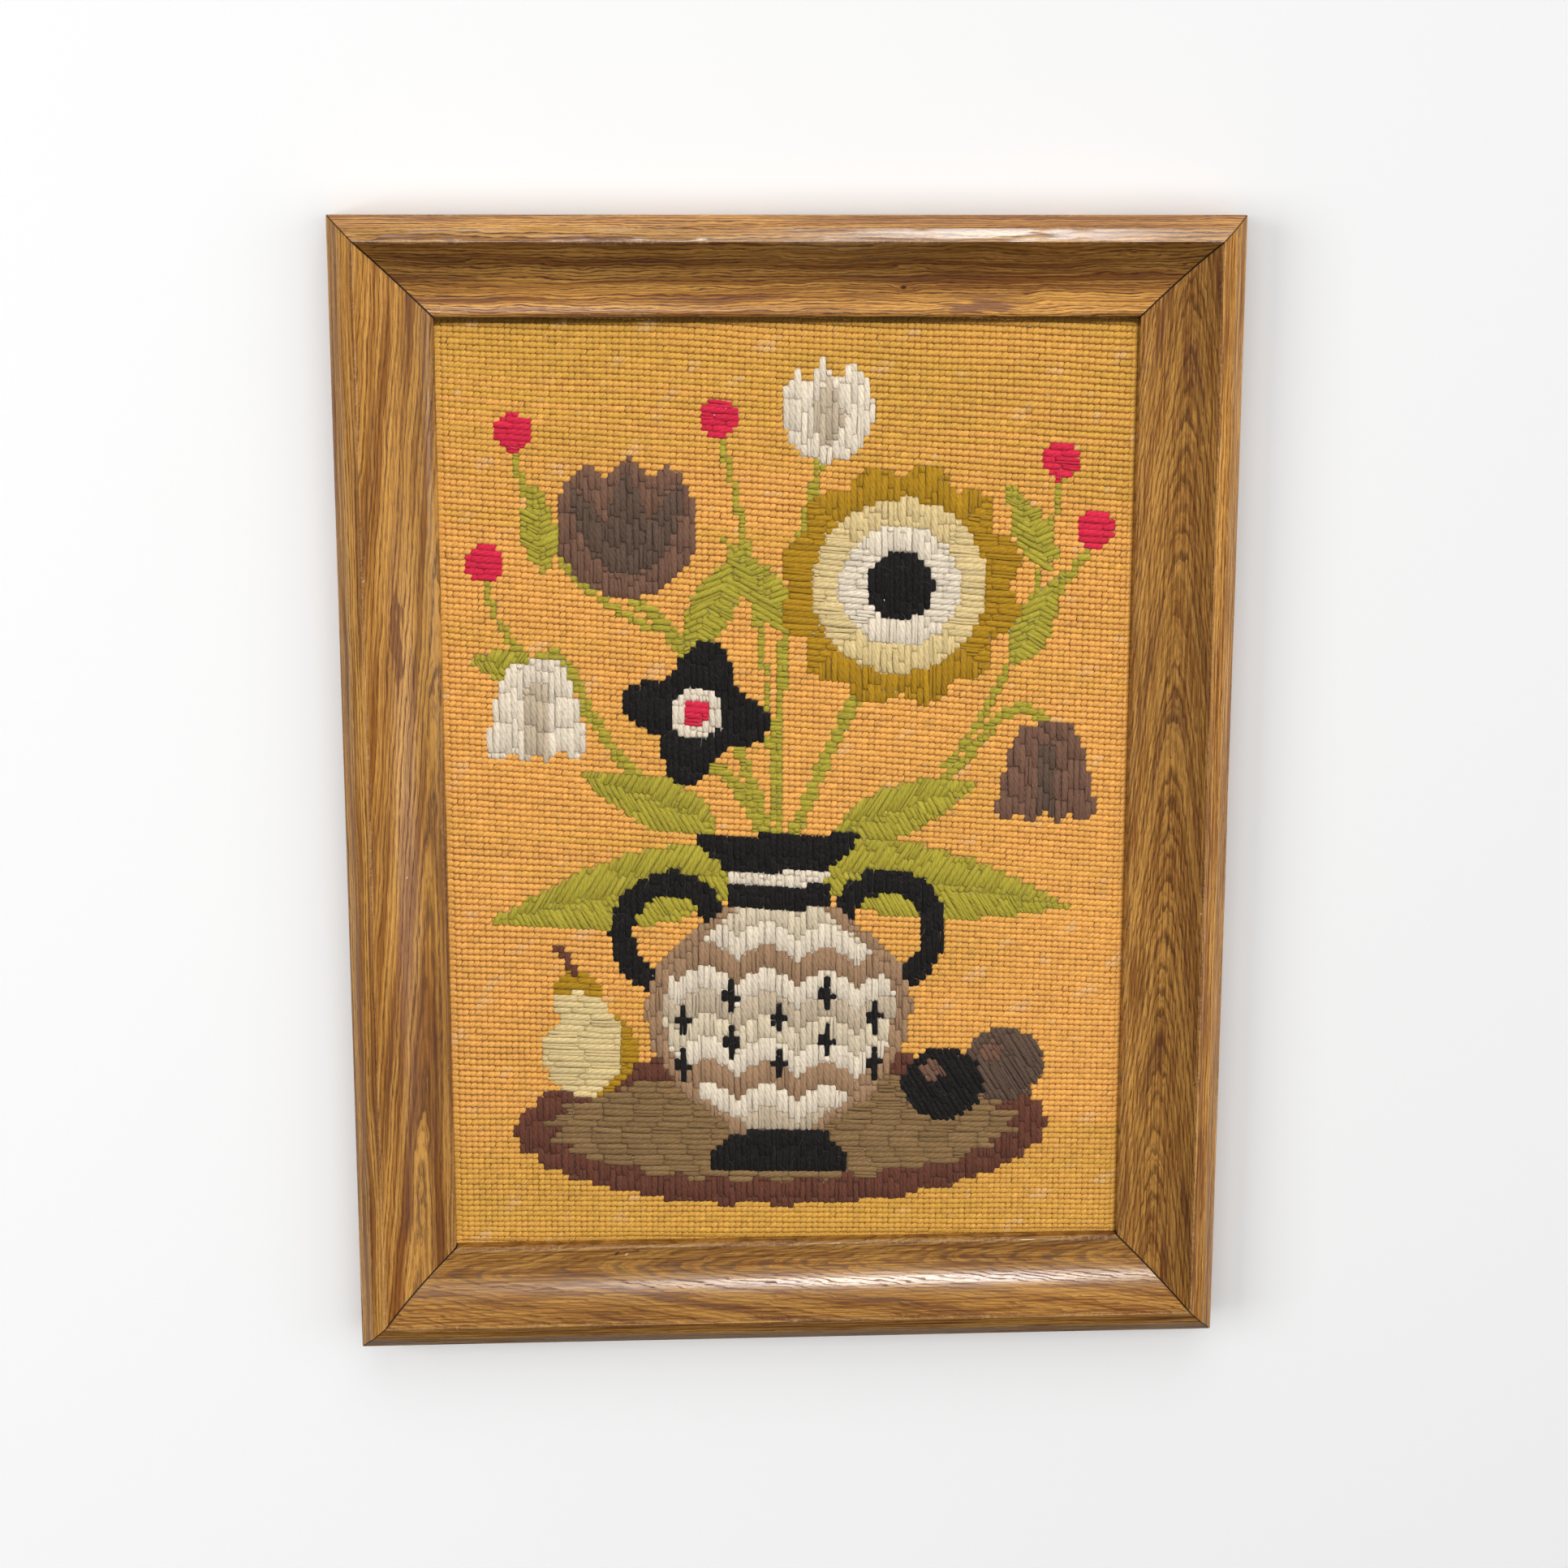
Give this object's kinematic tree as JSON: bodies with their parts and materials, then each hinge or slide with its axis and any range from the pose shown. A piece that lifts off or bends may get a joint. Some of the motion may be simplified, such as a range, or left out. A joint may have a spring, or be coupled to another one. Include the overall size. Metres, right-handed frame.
{
  "type": "framed embroidery picture and frame",
  "caption": "Upright picture worked in wool on canvas, stretched over a board in a mitred, hollow-moulded oak frame.",
  "frame": {"origin": "below the middle of the frame, on the plane that its back rests on", "axes": "+X to the picture's right, +Y to the picture's top, +Z out of its face"},
  "size_m": [0.364, 0.4716, 0.03],
  "materials": {
    "oak": "golden oak, open pores, satin varnish worn along the arrises",
    "wool": "plied wool worked on even canvas",
    "board": "plain pressed board"
  },
  "bodies": {
    "root": {"rail_top": "oak", "rail_bottom": "oak", "rail_left": "oak", "rail_right": "oak", "stitched_canvas": "wool", "backing_board": "board"}
  },
  "joints": []
}
